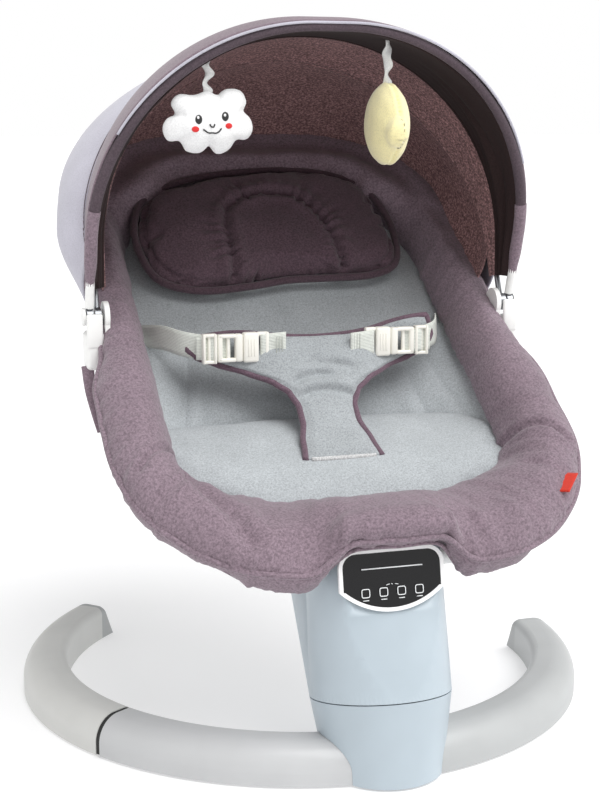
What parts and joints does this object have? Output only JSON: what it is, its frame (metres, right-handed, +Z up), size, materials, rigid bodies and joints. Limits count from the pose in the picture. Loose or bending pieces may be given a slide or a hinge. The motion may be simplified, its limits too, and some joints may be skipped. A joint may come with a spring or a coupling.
{
  "type": "baby swing",
  "caption": "Electric baby swing: C-shaped floor ring, leaning swivel column, padded sling seat with harness, folding hood and two hanging toys.",
  "frame": {"origin": "middle of the swing's outline on the floor, under the floor pads", "axes": "+Z up, -Y towards the foot of the seat and the control panel, +X to the right seen from the front"},
  "size_m": [0.588, 0.5809, 0.6933],
  "materials": {
    "leg_grey": "satin warm grey moulded plastic",
    "tube_silver": "silver painted steel tube",
    "leg_silver": "pale silver painted plastic",
    "gasket": "black rubber",
    "pad_rubber": "dark rubber pads",
    "steel": "plain steel",
    "column": "pale ice-blue satin ABS",
    "inner_plastic": "dark moulded plastic",
    "brass_washer": "plain brass",
    "copper": "enamelled copper winding",
    "board": "green circuit board",
    "nylon": "natural nylon",
    "white_plastic": "white moulded plastic",
    "lens": "black gloss acrylic",
    "seat_tube": "grey coated steel tube",
    "rim_fabric": "mauve-taupe heather cloth",
    "panel_fabric": "light grey heather cloth",
    "back_fabric": "grey heather cloth",
    "pillow_fabric": "dark taupe heather cloth",
    "webbing": "ivory polyester webbing",
    "buckle": "ivory acetal",
    "tab_red": "red woven tab",
    "hoop": "coated spring steel rod",
    "hood_lining": "dark brown hood lining",
    "hood_shell": "pale lilac-grey hood cloth",
    "plush_white": "white short plush",
    "plush_yellow": "pale yellow short plush"
  },
  "bodies": {
    "base": {"left_leg": "leg_grey", "front_tube": "tube_silver", "right_leg": "leg_silver", "leg_joint_band": "gasket", "end_caps": "leg_grey", "floor_pads": "pad_rubber", "steel_spine": "steel", "column_cup": "column", "cup_floor": "inner_plastic", "pivot_post": "steel", "thrust_washer": "brass_washer", "drive_coil": "copper", "coil_core": "steel", "drive_board": "board", "power_inlet": "inner_plastic", "base_screws": "steel"},
    "seat": {"head_front_shell": "column", "head_rear_shell": "column", "panel_bezel": "white_plastic", "panel_lens": "lens", "control_board": "board", "speaker": "inner_plastic", "drive_magnet": "steel", "lower_bush": "nylon", "upper_bush": "nylon", "swing_carrier": "steel", "retaining_clip": "steel", "head_screws": "steel", "left_socket": "white_plastic", "right_socket": "white_plastic", "left_seat_tube": "seat_tube", "right_seat_tube": "seat_tube", "head_bow": "seat_tube", "bow_screws": "steel", "left_hub": "white_plastic", "right_hub": "white_plastic", "padded_rim": "rim_fabric", "seat_panel": "panel_fabric", "back_panel": "back_fabric", "pillow": "pillow_fabric", "crotch_pad": "panel_fabric", "left_webbing": "webbing", "right_webbing": "webbing", "left_buckle_socket": "buckle", "right_buckle_socket": "buckle", "rim_tab": "tab_red", "rear_hood_panel": "hood_shell"},
    "left_buckle": {"left_buckle_plug": "buckle", "left_slider": "buckle"},
    "right_buckle": {"right_buckle_plug": "buckle", "right_slider": "buckle"},
    "hood_middle": {"middle_hoop": "hoop", "middle_hood_panel": "hood_lining"},
    "hood_front": {"front_hoop": "hoop", "front_hood_panel": "rim_fabric"},
    "cloud": {"cloud_toy": "plush_white", "cloud_ribbon": "plush_white"},
    "moon": {"moon_toy": "plush_yellow", "moon_ribbon": "plush_yellow"}
  },
  "joints": [
    {"name": "swing", "type": "hinge", "parent": "base", "child": "seat", "pos_m": [0, -0.224, 0.069], "axis": [0, 0.1908, 0.9816], "range_deg": [-15, 15]},
    {"name": "hood_fold", "type": "hinge", "parent": "seat", "child": "hood_middle", "pos_m": [0, 0.006, 0.398], "axis": [-1, 0, 0], "range_deg": [0, 24]},
    {"name": "hood_front_fold", "type": "hinge", "parent": "hood_middle", "child": "hood_front", "pos_m": [0, 0.006, 0.398], "axis": [-1, 0, 0], "range_deg": [0, 24]},
    {"name": "cloud_swing", "type": "hinge", "parent": "hood_front", "child": "cloud", "pos_m": [-0.118, -0.05738, 0.65222], "axis": [1, 0, 0], "range_deg": [-18, 18]},
    {"name": "moon_swing", "type": "hinge", "parent": "hood_front", "child": "moon", "pos_m": [0.061, -0.06005, 0.66289], "axis": [1, 0, 0], "range_deg": [-18, 18]},
    {"name": "left_buckle_release", "type": "slide", "parent": "seat", "child": "left_buckle", "axis": [-1, 0, 0], "range_m": [0, 0.022], "deforming": ["left_webbing"]},
    {"name": "right_buckle_release", "type": "slide", "parent": "seat", "child": "right_buckle", "axis": [1, 0, 0], "range_m": [0, 0.022], "deforming": ["right_webbing"]}
  ],
  "couplings": [
    {"joint": "hood_front_fold", "follows": "hood_fold", "ratio": 1}
  ]
}
